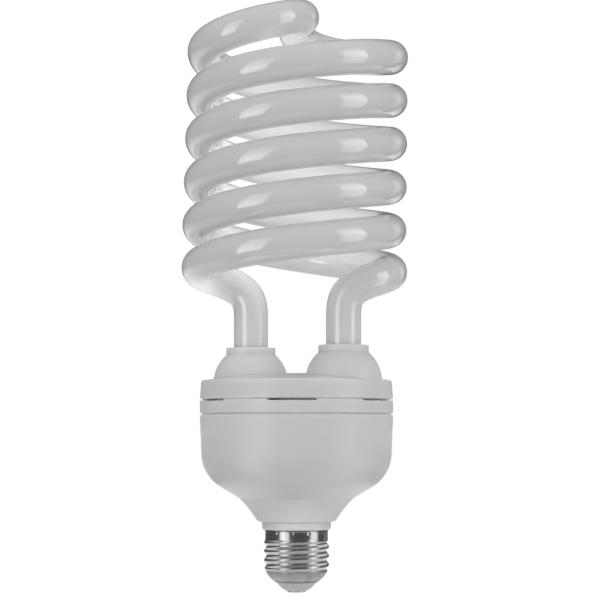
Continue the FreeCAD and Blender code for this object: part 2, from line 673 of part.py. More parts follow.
# ------------------------------------------------------------ bulk capacitor
bulk = new_body("bulk_capacitor")
low = under - 0.6 - d("cap_len")
turned(bulk, "BulkBody", [
    (0, low + 0.3), (d("cap_r") - 2.2, low + 0.3), (d("cap_r") - 2.0, low), (d("cap_r") - 1.0, low, 1.0), (d("cap_r"), low + 1.0),
    (d("cap_r"), under - 4.2), (d("cap_r") - 0.7, under - 3.6), (d("cap_r") - 0.7, under - 3.0), (d("cap_r"), under - 2.4),
    (d("cap_r"), under - 1.0), (d("cap_r") - 0.5, under - 0.6), (3.0, under - 0.6), (3.0, under), (0, under)],
    dx=Q(0.0, "(0.0)"), dy=d("cap_y"))

# --------------------------------------------------------------------- choke
cx = d("choke_x")
halves = []
for k in range(2):
    z0 = d("core_z") if k == 0 else d("core_z") + d("core_h")
    wz = z0 + d("core_leg") if k == 0 else z0
    blank = box("CoreBlank%d" % k, d("core_t"), d("core_w"), d("core_h"), cx, 0, z0)
    mid_y = d("core_w") / 2 - d("core_leg") - d("window_w") / 2
    slots = fuse("CoreSlots%d" % k, [
        box("CoreSlot%d%d" % (k, j), d("core_t") + 2, d("window_w"), d("core_h") - d("core_leg"), cx, mid_y * sgn, wz)
        for j, sgn in enumerate((1, -1))])
    halves.append(cut("CoreHalf%d" % k, blank, slots))
both = doc.addObject("Part::Compound", "ChokeCore")
both.Links = halves
node(both, "choke_core")
bz = d("core_z") + d("core_h") - d("bobbin_h") / 2
flanged = fuse("BobbinBlank", [
    box("BobbinTube", d("bobbin_core"), d("bobbin_core"), d("bobbin_h"), cx, 0, bz),
    box("BobbinLow", d("bobbin_w"), d("bobbin_w"), d("flange_t"), cx, 0, bz),
    box("BobbinHigh", d("bobbin_w"), d("bobbin_w"), d("flange_t"), cx, 0, bz + d("bobbin_h") - d("flange_t"))])
node(cut("Bobbin", flanged, box("BobbinHole", d("bobbin_in"), d("bobbin_in"), d("bobbin_h") + 2, cx, 0, bz - 1)), "choke_bobbin")
wind = box("WindBlank", d("coil_w"), d("coil_w"), d("bobbin_h") - d("flange_t") * 2, cx, 0, bz + d("flange_t"))
wind_cut = cut("WindRing", wind, box("WindHole", d("bobbin_core"), d("bobbin_core"), d("bobbin_h"), cx, 0, bz))
doc.recompute()
rounded = doc.addObject("Part::Fillet", "ChokeWinding")
rounded.Base = wind_cut
outer_edges = []
for i, e in enumerate(wind_cut.Shape.Edges):
    c = e.CenterOfMass
    if abs(abs(c.x - cx.v) - NUM["coil_w"] / 2) < 0.01 and abs(abs(c.y) - NUM["coil_w"] / 2) < 0.01:
        outer_edges.append((i + 1, 3.0, 3.0))
rounded.Edges = outer_edges
node(rounded, "choke_winding")
node(fuse("ChokePins", [
    cyl("ChokePin%d" % k, 0.4, under - (bz + d("bobbin_h")), cx + px, py, bz + d("bobbin_h"))
    for k, (px, py) in enumerate(((-7.6, -5), (-7.6, 5), (7.6, -5), (7.6, 5)))]), "choke_pins")

# -------------------------------------------------------------- drive toroid
tx, ty = Q.of(16.0), Q.of(-19.0)
tz = under - d("ring_core_h") - 1.6
node(cut("DriveToroid", cyl("ToroidOuter", d("ring_core_r"), d("ring_core_h"), tx, ty, tz),
         cyl("ToroidInner", d("ring_core_in"), d("ring_core_h") + 2, tx, ty, tz - 1)), "drive_toroid")
loops = []
mid_r = 0.5 * (NUM["ring_core_r"] + NUM["ring_core_in"])
for k in range(9):
    a = 2 * math.pi * k / 9
    turn = FreeCAD.Rotation(V(0, 0, 1), math.degrees(a)).multiply(FreeCAD.Rotation(V(1, 0, 0), 90))
    loops.append(torus("ToroidTurn%d" % k, d("turn_r"), d("wire_r"), tx + mid_r * math.cos(a), ty + mid_r * math.sin(a),
                       tz + d("ring_core_h") / 2, turn))
node(fuse("ToroidWinding", loops), "toroid_winding")

# ----------------------------------------------- transistors and heat sink
sx, sy = d("sink_x"), d("sink_y")
sz = under - 0.8 - d("sink_h")
sink_blank = box("SinkPlate", d("sink_w"), d("sink_t"), d("sink_h"), sx, sy + d("sink_t") / 2, sz)
chips, screws, sink_holes = [], [], []
hole_z = sz + 2.6
for k, off in enumerate((-9.0, 9.0)):
    bx = sx + off
    by = sy - d("tab_t")
    body_z = sz + d("tab_h") + 0.4
    tab = box("ChipTab%d" % k, d("chip_w"), d("tab_t"), d("tab_h") + d("chip_h"), bx, sy - d("tab_t") / 2, sz + 0.4)
    hole = cyl("ChipHole%d" % k, d("screw_r") + 0.2, 8, bx, sy - 5, hole_z, ALONG_Y)
    tab_cut = cut("ChipTabCut%d" % k, tab, hole)
    mould = box("ChipBody%d" % k, d("chip_w"), d("chip_t") - d("tab_t"), d("chip_h"), bx, by - (d("chip_t") - d("tab_t")) / 2, body_z)
    legs = [box("ChipLeg%d%d" % (k, j), 0.8, 0.5, under - (body_z + d("chip_h")) + 0.5, bx + lo, by - 1.2, body_z + d("chip_h") - 0.5)
            for j, lo in enumerate((-2.54, 0.0, 2.54))]
    chips.append(fuse("Transistor%d" % k, [tab_cut, mould] + legs))
    sink_holes.append(cyl("SinkHole%d" % k, d("screw_r") + 0.05, 8, bx, sy - 3, hole_z, ALONG_Y))
    screws.append(fuse("SinkScrew%d" % k, [
        cyl("ScrewShank%d" % k, d("screw_r"), 5.0, bx, by, hole_z, ALONG_Y),
        cyl("ScrewHead%d" % k, 2.6, 1.9, bx, by - 1.9, hole_z, ALONG_Y)]))
node(fuse("PowerTransistors", chips), "power_transistors")
foot = box("SinkFoot", 6.0, d("sink_t"), 0.8, sx, sy + d("sink_t") / 2, under - 0.8)
node(cut("HeatSink", fuse("SinkBlank", [sink_blank, foot]), fuse("SinkHoles", sink_holes)), "heat_sink")
node(fuse("HeatSinkScrews", screws), "heat_sink_screws")

# ------------------------------------------------- film capacitors and PTC
def film(label, sx_, sy_, sz_, x, y):
    blank = box(label + "_blank", sx_, sy_, sz_, x, y, under - 1.0 - sz_)
    doc.recompute()
    soft = doc.addObject("Part::Fillet", label + "_case")
    soft.Base = blank
    soft.Edges = [(i + 1, 1.1, 1.1) for i, e in enumerate(blank.Shape.Edges) if abs(e.tangentAt(e.FirstParameter).z) > 0.9]
    pins = [cyl("%s_pin%d" % (label, k), d("lead_r"), 1.5, x + s * (sx_ / 2 - 1.6), y, under - 1.5) for k, s in enumerate((-1, 1))]
    node(fuse(label + "_whole", [soft] + pins), label)


film("resonant_capacitor", 13.0, 6.0, 12.0, 20.0, 4.5)
film("coupling_capacitor", 11.0, 5.0, 10.0, 17.0, -4.0)
film("startup_capacitor", 6.0, 3.4, 7.0, -6.5, 14.4)
node(fuse("Thermistor", [cyl("PtcDisc", 4.0, 3.0, 16.0, 10.5, under - 7.5, ALONG_Y)] + [
    cyl("PtcPin%d" % k, d("lead_r"), 5.5, 16.0 + s * 2.5, 12.0, under - 5.5) for k, s in enumerate((-1, 1))]), "thermistor")


# ---------------------------------------------- axial parts under the board
def axial(tag, r, length, x, y):
    z = under - r - 0.9
    reach = length / 2 + 1.8
    return fuse(tag, [cyl(tag + "Body", r, length, x, y - length / 2, z, ALONG_Y),
                      cyl(tag + "Wire", d("lead_r"), 2 * reach, x, y - reach, z, ALONG_Y)] + [
        cyl("%sPin%d" % (tag, k), d("lead_r") - 0.05, r + 0.9, x, y + s * (reach - 0.6), z) for k, s in enumerate((-1, 1))])


node(fuse("RectifierDiodes", [axial("Diode%d" % k, 1.35, 5.2, -12.0 + 4.0 * k, -25.0) for k in range(4)]), "rectifier_diodes")
node(fuse("Resistors", [axial("Resistor%d" % k, 1.2, 6.0, -9.0 + 3.6 * k, -14.4) for k in range(4)]), "resistors")

# -------------------------------------------------------------- filter choke
fx, fy, fz = 28.3, -4.0, under - 12.6
node(fuse("FilterCore", [
    cyl("FilterLow", 4.4, 1.4, fx, fy, fz), cyl("FilterMid", 2.0, 12.0, fx, fy, fz), cyl("FilterHigh", 4.4, 1.4, fx, fy, fz + 10.6),
    cyl("FilterPinA", d("lead_r"), 1.6, fx - 2.6, fy, under - 1.6), cyl("FilterPinB", d("lead_r"), 1.6, fx + 2.6, fy, under - 1.6)]),
    "filter_choke_core")
node(cut("FilterWinding", cyl("FilterTurns", 3.9, 9.2, fx, fy, fz + 1.4), cyl("FilterTurnsHole", 2.0, 12.0, fx, fy, fz)),
     "filter_choke_winding")

# --------------------------------------------------- fuse resistor and wires
node(fuse("FuseResistor", [cyl("FuseBody", d("fuse_r"), 10.0, 0, 0, 14.0), cyl("FuseLead", 0.4, 18.5, 0, 0, d("shank_z"))]), "fuse_resistor")
for label, route in (
        ("live_wire", [V(3, -9.8, NUM["board_z"]), V(3, -9.8, 36.5), V(0, 0, 31.0), V(0, 0, 26.5)]),
        ("neutral_wire", [V(-3, -9.8, NUM["board_z"]), V(-3, -9.8, 38.0), V(-6.4, -5.4, 30.0), V(-6.4, -5.4, 12.4), V(-8.4, -7.1, 9.0)])):
    wire = doc.addObject("Part::Feature", label)
    wire.Shape = tube_along(route, float(sheet.get("cable_r")), label)
    node(wire, label)

# --------------------------------------------------------- check and write
doc.recompute()
for o in doc.Objects:
    if "Invalid" in o.State or "Error" in o.State:
        raise RuntimeError("%s failed: %s" % (o.Label, o.State))
for o in NODES:
    if o.Shape.isNull() or not o.Shape.isValid() or not o.Shape.Solids or o.Shape.Volume <= 0:
        raise RuntimeError("%s has no valid solid" % o.Label)
for o in NODES:
    box_ = o.Shape.BoundBox
    print("%-22s solids %2d volume %10.2f  x %.2f %.2f y %.2f %.2f z %.2f %.2f" % (
        o.Label, len(o.Shape.Solids), o.Shape.Volume, box_.XMin, box_.XMax, box_.YMin, box_.YMax, box_.ZMin, box_.ZMax))
    o.Shape.exportStep("parts/%s.step" % o.Label)
print("nodes", len(NODES))
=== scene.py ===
import json
import math

import bpy
import numpy as np
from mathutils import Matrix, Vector


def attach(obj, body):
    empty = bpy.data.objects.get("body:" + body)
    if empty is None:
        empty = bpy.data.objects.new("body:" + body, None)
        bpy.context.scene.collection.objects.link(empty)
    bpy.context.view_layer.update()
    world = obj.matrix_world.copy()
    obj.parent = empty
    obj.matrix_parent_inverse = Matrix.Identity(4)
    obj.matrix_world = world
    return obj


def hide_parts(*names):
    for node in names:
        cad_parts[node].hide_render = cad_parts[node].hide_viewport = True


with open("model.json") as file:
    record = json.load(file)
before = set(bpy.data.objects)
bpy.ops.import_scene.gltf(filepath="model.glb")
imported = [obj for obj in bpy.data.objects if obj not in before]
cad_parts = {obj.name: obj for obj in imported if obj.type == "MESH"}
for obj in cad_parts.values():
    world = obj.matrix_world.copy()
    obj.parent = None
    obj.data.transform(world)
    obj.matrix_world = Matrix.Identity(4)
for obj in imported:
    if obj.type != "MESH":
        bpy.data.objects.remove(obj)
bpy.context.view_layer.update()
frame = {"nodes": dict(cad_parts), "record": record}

# A self-ballasted lamp with a double spiral tube, standing on its cap.
# Metres, +Z up along the cap's axis, seen from -Y.

MM = 0.001
nodes = frame["nodes"]
scene = bpy.context.scene


# ------------------------------------------------------------------ materials
def new_material(name):
    m = bpy.data.materials.new(name)
    m.use_nodes = True
    tree = m.node_tree
    shader = next(n for n in tree.nodes if n.type == "BSDF_PRINCIPLED")
    return m, tree, shader


def add(tree, kind, **values):
    node = tree.nodes.new(kind)
    for key, value in values.items():
        if key in node.inputs:
            node.inputs[key].default_value = value
        else:
            setattr(node, key, value)
    return node


def place_coords(tree, stretch=(1.0, 1.0, 1.0)):
    """Object coordinates in metres, stretched along the axes."""
    coords = add(tree, "ShaderNodeTexCoord")
    mapping = add(tree, "ShaderNodeMapping")
    mapping.inputs["Scale"].default_value = stretch
    tree.links.new(coords.outputs["Object"], mapping.inputs["Vector"])
    return mapping.outputs["Vector"]


def noise(tree, vector, scale, detail=2.0, rough=0.5):
    n = add(tree, "ShaderNodeTexNoise")
    n.inputs["Scale"].default_value = scale
    n.inputs["Detail"].default_value = detail
    n.inputs["Roughness"].default_value = rough
    tree.links.new(vector, n.inputs["Vector"])
    return n.outputs["Fac"]


def ramp(tree, fac, stops):
    r = add(tree, "ShaderNodeValToRGB")
    els = r.color_ramp.elements
    els[0].position, els[0].color = stops[0][0], (*stops[0][1], 1.0)
    els[1].position, els[1].color = stops[-1][0], (*stops[-1][1], 1.0)
    for pos, colour in stops[1:-1]:
        e = els.new(pos)
        e.color = (*colour, 1.0)
    tree.links.new(fac, r.inputs["Fac"])
    return r.outputs["Color"]


def remap(tree, value, a, b, c, d):
    n = add(tree, "ShaderNodeMapRange")
    n.inputs["From Min"].default_value = a
    n.inputs["From Max"].default_value = b
    n.inputs["To Min"].default_value = c
    n.inputs["To Max"].default_value = d
    tree.links.new(value, n.inputs["Value"])
    return n.outputs["Result"]


def maths(tree, op, a, b=None):
    n = add(tree, "ShaderNodeMath")
    n.operation = op
    for i, v in enumerate((a, b)):
        if v is None:
            continue
        if isinstance(v, (int, float)):
            n.inputs[i].default_value = v
        else:
            tree.links.new(v, n.inputs[i])
    return n.outputs[0]


def bump(tree, shader, height, distance, strength=1.0, under=None):
    b = add(tree, "ShaderNodeBump")
    b.inputs["Distance"].default_value = distance
    b.inputs["Strength"].default_value = strength
    tree.links.new(height, b.inputs["Height"])
    if under is not None:
        tree.links.new(under, b.inputs["Normal"])
    if shader is not None:
        tree.links.new(b.outputs["Normal"], shader.inputs["Normal"])
    return b.outputs["Normal"]


def shade(colour, by):
    return tuple(min(1.0, c * by) for c in colour)


def moulded(name, colour, rough=(0.36, 0.5), grain=5200.0, depth=0.010, vary=0.05, subsurface=0.0, seams=()):
    """A moulded or dipped surface: faint flow marks in the colour, uneven gloss, fine grain, and painted light in its
    seams, where the groove walls are made paler to cancel their shade.
    """
    m, t, s = new_material(name)
    at = place_coords(t)
    flow = noise(t, place_coords(t, (1.0, 1.0, 0.35)), 55.0, 3.0)
    tint = ramp(t, flow, [(0.3, shade(colour, 1 - vary)), (0.5, colour), (0.7, shade(colour, 1 + vary * 0.5))])
    # Painted light: inside each seam's mouth radius the colour is mixed towards a paler grey to cancel the groove's
    # shade.
    for height, reach, mouth, white in seams:
        split = add(t, "ShaderNodeSeparateXYZ")
        t.links.new(at, split.inputs[0])
        x, y, z = (split.outputs[i] for i in range(3))
        radius = maths(t, "SQRT", maths(t, "ADD", maths(t, "MULTIPLY", x, x), maths(t, "MULTIPLY", y, y)))
        near = remap(t, maths(t, "ABSOLUTE", maths(t, "SUBTRACT", z, height)), reach, reach * 0.8, 0.0, 1.0)
        seam_painted_light = add(t, "ShaderNodeMix", data_type="RGBA")
        seam_painted_light.inputs[7].default_value = (white, white, white, 1.0)
        t.links.new(maths(t, "MULTIPLY", near, remap(t, radius, mouth, mouth - 0.0005, 0.0, 1.0)), seam_painted_light.inputs[0])
        t.links.new(tint, seam_painted_light.inputs[6])
        tint = seam_painted_light.outputs[2]
    t.links.new(tint, s.inputs["Base Color"])
    t.links.new(remap(t, noise(t, at, 420.0, 3.0), 0.3, 0.7, rough[0], rough[1]), s.inputs["Roughness"])
    low = bump(t, None, noise(t, at, 160.0, 2.0), 0.00004)
    bump(t, s, noise(t, at, grain, 2.0, 0.6), depth * MM, 1.0, low)
    s.inputs["IOR"].default_value = 1.49
    if subsurface:
        s.inputs["Subsurface Weight"].default_value = subsurface
        s.inputs["Subsurface Radius"].default_value = (0.003, 0.003, 0.003)
        s.inputs["Subsurface Scale"].default_value = 1.0
    return m


def metallic(name, colour, rough=(0.16, 0.3), grain=(400.0, 400.0, 400.0), depth=0.006, vary=0.08):
    m, t, s = new_material(name)
    at = place_coords(t)
    t.links.new(ramp(t, noise(t, at, 240.0, 3.0), [(0.3, shade(colour, 1 - vary)), (0.7, shade(colour, 1 + vary * 0.4))]), s.inputs["Base Color"])
    t.links.new(remap(t, noise(t, at, 700.0, 3.0), 0.3, 0.7, rough[0], rough[1]), s.inputs["Roughness"])
    bump(t, s, noise(t, place_coords(t, grain), 6.0, 3.0), depth * MM)
    s.inputs["Metallic"].default_value = 1.0
    return m


def opal_glass():
    """White powder coat seen through a smooth glass wall."""
    m, t, s = new_material("opal_glass")
    at = place_coords(t)
    cloud = noise(t, at, 34.0, 3.0)
    t.links.new(ramp(t, cloud, [(0.3, (0.725, 0.725, 0.725)), (0.5, (0.74, 0.74, 0.74)), (0.72, (0.75, 0.75, 0.75))]), s.inputs["Base Color"])
    t.links.new(remap(t, noise(t, at, 260.0, 2.0), 0.3, 0.7, 0.012, 0.035), s.inputs["Roughness"])
    draw = noise(t, place_coords(t, (1.0, 1.0, 1.6)), 44.0, 1.0)
    bump(t, s, draw, 0.00006)
    s.inputs["IOR"].default_value = 1.55
    s.inputs["Coat Weight"].default_value = 0.7
    s.inputs["Coat Roughness"].default_value = 0.01
    s.inputs["Coat IOR"].default_value = 1.5
    s.inputs["Subsurface Weight"].default_value = 1.0
    s.inputs["Subsurface Radius"].default_value = (0.008, 0.008, 0.008)
    s.inputs["Subsurface Scale"].default_value = 1.0
    return m


def nickel_shell():
    """Bright rolled nickel, drawn upwards, with turning marks, a dull spun-in end, and painted shade that darkens both
    edges: the turn-in at the bottom and the gap under the neck at the top.
    """
    m, t, s = new_material("nickel_shell")
    at = place_coords(t)
    up = add(t, "ShaderNodeSeparateXYZ")
    t.links.new(at, up.inputs[0])
    end = remap(t, up.outputs["Z"], 0.0094, 0.0082, 0.0, 1.0)
    blotch = noise(t, at, 260.0, 3.0)
    streak = noise(t, place_coords(t, (700.0, 700.0, 40.0)), 1.0, 2.0)
    mix = add(t, "ShaderNodeMix", data_type="RGBA")
    t.links.new(end, mix.inputs[0])
    t.links.new(ramp(t, streak, [(0.3, (0.34, 0.34, 0.34)), (0.7, (0.43, 0.43, 0.43))]), mix.inputs[6])
    t.links.new(ramp(t, blotch, [(0.3, (0.31, 0.31, 0.31)), (0.7, (0.44, 0.44, 0.44))]), mix.inputs[7])
    # Painted shade: the colour falls to 0.45 below 4.3 mm at the turn-in and to 0.3 above 24.8 mm in the gap under the
    # neck.
    edge = maths(t, "MULTIPLY", remap(t, up.outputs["Z"], 0.0043, 0.0050, 0.45, 1.0), remap(t, up.outputs["Z"], 0.0245, 0.0248, 1.0, 0.3))
    edge_painted_shade = add(t, "ShaderNodeVectorMath", operation="SCALE")
    t.links.new(mix.outputs[2], edge_painted_shade.inputs[0])
    t.links.new(edge, edge_painted_shade.inputs["Scale"])
    t.links.new(edge_painted_shade.outputs[0], s.inputs["Base Color"])
    bright = remap(t, noise(t, at, 520.0, 3.0), 0.3, 0.7, 0.14, 0.23)
    t.links.new(maths(t, "ADD", bright, maths(t, "MULTIPLY", end, 0.48)), s.inputs["Roughness"])
    rings = noise(t, place_coords(t, (30.0, 30.0, 2600.0)), 1.0, 2.0)
    dents = noise(t, at, 300.0, 1.0)
    low = bump(t, None, dents, 0.00003)
    bump(t, s, rings, 0.000004, 1.0, low)
    s.inputs["Metallic"].default_value = 1.0
    return m


def enamelled_wire(name, colour, turns_per_metre):
    """Wound copper: one ridge for each layer of wire."""
    m, t, s = new_material(name)
    at = place_coords(t)
    t.links.new(ramp(t, noise(t, at, 500.0, 3.0), [(0.3, shade(colour, 0.8)), (0.7, shade(colour, 1.1))]), s.inputs["Base Color"])
    t.links.new(remap(t, noise(t, at, 900.0), 0.3, 0.7, 0.22, 0.36), s.inputs["Roughness"])
    wave = add(t, "ShaderNodeTexWave", bands_direction="Z")
    wave.inputs["Scale"].default_value = turns_per_metre / 2.0
    t.links.new(at, wave.inputs["Vector"])
    bump(t, s, wave.outputs["Fac"], 0.00012)
    s.inputs["Metallic"].default_value = 0.85
    return m


def laminate(name, colour):
    m, t, s = new_material(name)
    at = place_coords(t)
    fibre = noise(t, place_coords(t, (1.0, 7.0, 1.0)), 420.0, 4.0)
    t.links.new(ramp(t, fibre, [(0.3, shade(colour, 0.85)), (0.7, shade(colour, 1.12))]), s.inputs["Base Color"])
    t.links.new(remap(t, noise(t, at, 600.0), 0.3, 0.7, 0.4, 0.6), s.inputs["Roughness"])
    bump(t, s, fibre, 0.00002)
    return m


WHITE = (0.69, 0.69, 0.69)
MATERIALS = {
    "opal_glass": opal_glass(),
    # The white moulding's two seam entries paint light into the grooves between the mouldings, paler than the surface,
    # to cancel their shade.
    "white_moulding": moulded("white_moulding", WHITE, (0.32, 0.44), 5200.0, 0.006, 0.03, 0.9, [(0.0714, 0.0007, 0.0389, 0.83), (0.0770, 0.0009, 0.0389, 0.91)]),
    "cement": moulded("cement", (0.70, 0.69, 0.65), (0.7, 0.9), 2400.0, 0.05, 0.1),
    "nickel_shell": nickel_shell(),
    "grey_insulator": moulded("grey_insulator", (0.57, 0.57, 0.57), (0.42, 0.6), 2600.0, 0.012, 0.06),
    "contact_metal": metallic("contact_metal", (0.50, 0.50, 0.49), (0.3, 0.46), (300.0, 300.0, 300.0), 0.02, 0.15),
    "board_laminate": laminate("board_laminate", (0.50, 0.34, 0.15)),
    "tinned_metal": metallic("tinned_metal", (0.70, 0.70, 0.68), (0.2, 0.34)),
    "capacitor_sleeve": moulded("capacitor_sleeve", (0.02, 0.024, 0.04), (0.16, 0.26), 1500.0, 0.01, 0.2),
    "ferrite": moulded("ferrite", (0.03, 0.03, 0.033), (0.5, 0.7), 2600.0, 0.03, 0.2),
    "bobbin_moulding": moulded("bobbin_moulding", (0.02, 0.02, 0.02), (0.4, 0.55), 3200.0, 0.01, 0.2),
    "copper_wire": enamelled_wire("copper_wire", (0.62, 0.25, 0.09), 2400.0),
    "black_epoxy": moulded("black_epoxy", (0.018, 0.018, 0.02), (0.45, 0.62), 3600.0, 0.02, 0.2),
    "heat_sink_metal": metallic("heat_sink_metal", (0.72, 0.73, 0.74), (0.28, 0.42), (900.0, 60.0, 60.0), 0.012),
    "steel_screw": metallic("steel_screw", (0.56, 0.56, 0.55), (0.24, 0.36)),
    "film_capacitor": moulded("film_capacitor", (0.32, 0.05, 0.022), (0.18, 0.3), 1600.0, 0.012, 0.12),
    "thermistor_coat": moulded("thermistor_coat", (0.02, 0.075, 0.035), (0.2, 0.34), 1600.0, 0.012, 0.15),
    "resistor_coat": moulded("resistor_coat", (0.48, 0.34, 0.19), (0.24, 0.36), 1800.0, 0.012, 0.1),
    "live_insulation": moulded("live_insulation", (0.32, 0.018, 0.014), (0.4, 0.55), 2200.0, 0.012, 0.12),
    "neutral_insulation": moulded("neutral_insulation", (0.015, 0.015, 0.016), (0.4, 0.55), 2200.0, 0.012, 0.2),
}
SLOT_OF = {p["node"]: p["material_slot"] for p in frame["record"]["subparts"]}


def dress(obj, slot):
    obj.data.materials.clear()
    obj.data.materials.append(MATERIALS[slot])


for name, obj in nodes.items():
    dress(obj, SLOT_OF[name])


# ---------------------------------------------------------------- mesh helpers
def make_piece(name, verts, faces, slot, stands_for=(), smooth=True, sharp=None):
    mesh = bpy.data.meshes.new(name)
    mesh.from_pydata([tuple(v) for v in verts], [], [tuple(f) for f in faces])
    mesh.validate()
    if smooth:
        mesh.polygons.foreach_set("use_smooth", [True] * len(mesh.polygons))
        if sharp is not None:
            mesh.set_sharp_from_angle(angle=sharp)
    mesh.update()
    obj = bpy.data.objects.new(name, mesh)
    scene.collection.objects.link(obj)
    dress(obj, slot)
    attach(obj, "root")
    if stands_for:
        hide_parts(*stands_for)
    return obj


# ------------------------------------------------------------- discharge tube
# The two strands climb as right-hand coils half a turn apart and join over the
# top. The control polygon below is in millimetres; the tube's line is a smooth
# spline on it.
TUBE_R = 6.95
COIL_R, TAPER, PITCH, COIL_Z, COIL_END = 38.6, 0.7, 35.3, 129.0, 923.0
LEAN, LEAN_Z = 0.020, 190.0
LEG_X, LEG_Y, LEG_END, LEG_STRAIGHT = 18.74, 14.0, 82.0, 107.0
FRONT_BEND, FRONT_ELBOW = 118.4, ((7.0, -0.6, 4.85, 0.35), (15.28, 2.2, 7.9, 0.8), (20.58, 9.7, 10.2, 1.0))
REAR_BEND, REAR_ELBOW = 119.4, ((6.51, -0.4, 4.9, 0.35), (14.21, 2.4, 7.4, 0.8), (19.16, 9.7, 8.6, 1.0))
CROSSING = ((-60, 0.0), (-48, 2.6), (-36, 5.9), (-24, 9.3), (-12, 12.0), (-5, 12.6), (0, 12.2),
            (8, 10.2), (16, 7.4), (26, 4.6), (38, 2.5), (49, 1.2), (60, 0.0))


def strand(front):
    bend, elbow = (FRONT_BEND, FRONT_ELBOW) if front else (REAR_BEND, REAR_ELBOW)
    pts = [(LEG_X, -LEG_Y, z, 0.0) for z in (LEG_END, LEG_STRAIGHT, bend)]
    pts += [(LEG_X + x, -LEG_Y + y, bend + z, lean) for x, y, z, lean in elbow]
    count = 31
    step = math.radians(COIL_END) / count
    for i in range(count):
        a = step * (i + 0.5)
        half_turns = a / math.pi
        r = COIL_R - TAPER * half_turns / 5
        if front and i == 0:
            r += 0.405
        r /= math.cos(step / 2)
        z = COIL_Z + PITCH * half_turns / 2
        if front and half_turns < 1:
            z += 1.2 * math.sin(math.pi * half_turns)
        if front and half_turns < 0.5:
            z += 1.6 * (1 - 2 * half_turns) ** 2
        pts.append((r * math.cos(a), r * math.sin(a), z, 1.0))
    end = math.radians(COIL_END)
    half = 0.5 * (COIL_R - TAPER * COIL_END / 900.0)
    z_end = COIL_Z + PITCH * COIL_END / 360.0
    xs, ys = [c[0] for c in CROSSING], [c[1] for c in CROSSING]
    for i in range(6):
        a = end + math.pi * (i + 0.5) / 6
        q = half / math.cos(math.pi / 12)
        s = 60.0 * (1 - (i + 0.5) / 6)
        rise = float(np.interp(-s if front else s, xs, ys))
        pts.append((half * math.cos(end) + q * math.cos(a), half * math.sin(end) + q * math.sin(a), z_end + rise, 1.0))
    side = 1.0 if front else -1.0
    line = []
    for x, y, z, w in pts:
        x, y = side * x, side * y
        line.append((x + w * LEAN * (z - LEAN_Z), y, z - w * LEAN * x))
    return line


def spline_line(points, spacing):
    """Quadratic spline through the middles of the polygon's runs, at even spacing."""
    p = np.array(points, float)
    mids = (p[:-1] + p[1:]) / 2
    mids[0], mids[-1] = p[0], p[-1]
    t = np.linspace(0, 1, 60, endpoint=False)[:, None]
    parts = []
    for i in range(1, len(p) - 1):
        a, b, c = mids[i - 1], p[i], mids[i]
        parts.append((1 - t) ** 2 * a + 2 * t * (1 - t) * b + t ** 2 * c)
    parts.append(p[-1:])
    dense = np.vstack(parts)
    run = np.concatenate([[0], np.cumsum(np.linalg.norm(np.diff(dense, axis=0), axis=1))])
    n = int(round(run[-1] / spacing))
    at = np.linspace(0, run[-1], n + 1)
    return np.stack([np.interp(at, run, dense[:, k]) for k in range(3)], axis=1)


def soften(line, spacing, sigma):
    """Evens out the line's curvature; both ends carry on straight."""
    n = int(4 * sigma / spacing)
    k = np.exp(-0.5 * (np.arange(-n, n + 1) * spacing / sigma) ** 2)
    k /= k.sum()
    head = line[0] + (line[0] - line[1]) * np.arange(n, 0, -1)[:, None]
    tail = line[-1] + (line[-1] - line[-2]) * np.arange(1, n + 1)[:, None]
    padded = np.vstack([head, line, tail])
    return np.stack([np.convolve(padded[:, j], k, mode="valid") for j in range(3)], axis=1)


def resample(line, n):
    run = np.concatenate([[0], np.cumsum(np.linalg.norm(np.diff(line, axis=0), axis=1))])
    at = np.linspace(0, run[-1], n)
    return np.stack([np.interp(at, run, line[:, k]) for k in range(3)], axis=1), run[-1]


def sweep(line, radius, sides):
    """Rings along a line, carried without twist, with closed flat ends."""
    tangent = np.gradient(line, axis=0)
    tangent /= np.linalg.norm(tangent, axis=1)[:, None]
    side = np.cross(tangent[0], (0.0, 1.0, 0.0))
    side /= np.linalg.norm(side)
    ang = np.linspace(0, 2 * math.pi, sides, endpoint=False)
    verts = []
    for i in range(len(line)):
        side = side - tangent[i] * side.dot(tangent[i])
        side /= np.linalg.norm(side)
        other = np.cross(tangent[i], side)
        r = radius[i] if hasattr(radius, "__len__") else radius
        verts.append(line[i] + r * (np.cos(ang)[:, None] * side + np.sin(ang)[:, None] * other))
    faces = []
    for i in range(len(line) - 1):
        a, b = i * sides, (i + 1) * sides
        for j in range(sides):
            k = (j + 1) % sides
            faces.append((a + j, a + k, b + k, b + j))
    last = (len(line) - 1) * sides
    faces.append(tuple(range(sides - 1, -1, -1)))
    faces.append(tuple(last + j for j in range(sides)))
    return np.vstack(verts), faces


route = spline_line(strand(True) + strand(False)[::-1], 0.25)
route = soften(route, 0.25, 2.2)
line, length = resample(route, 1340)
along = np.linspace(0, length, len(line))
# drawn and bent glass is never perfectly even
even = 1.0 - 0.0016 * (1 + np.sin(along / 23.0 + 0.7) * np.cos(along / 61.0))
verts, faces = sweep(line, TUBE_R * even, 56)
tube = make_piece("spiral_tube", verts * MM, faces, "opal_glass", ("discharge_tube",), sharp=math.radians(50))


# ----------------------------------------------------------------- screw shell
END = ((4.15, 8.60), (4.7, 9.20), (5.5, 10.22), (6.3, 10.98), (7.1, 11.62), (7.9, 12.12), (8.7, 12.45), (9.6, 12.65))


def ease(x, a, b):
    u = np.clip((x - a) / (b - a), 0.0, 1.0)
    return u * u * (3 - 2 * u)


def shell_radius(angle, z):
    low = np.interp(z, [e[0] for e in END], [e[1] for e in END])
    base = np.where(z < 9.6, low, 12.65 - 0.05 * ease(z, 20.2, 22.0) + 0.22 * ease(z, 24.2, 24.95))
    amount = ease(z + 0.5 * np.cos(angle + math.pi / 4), 8.3, 10.1) * (1 - ease(z, 19.6, 21.4))
    turn = 2 * math.pi * ((z - 14.58) / 3.629 - angle / (2 * math.pi))
    return base + amount * 0.45 * np.cos(turn)


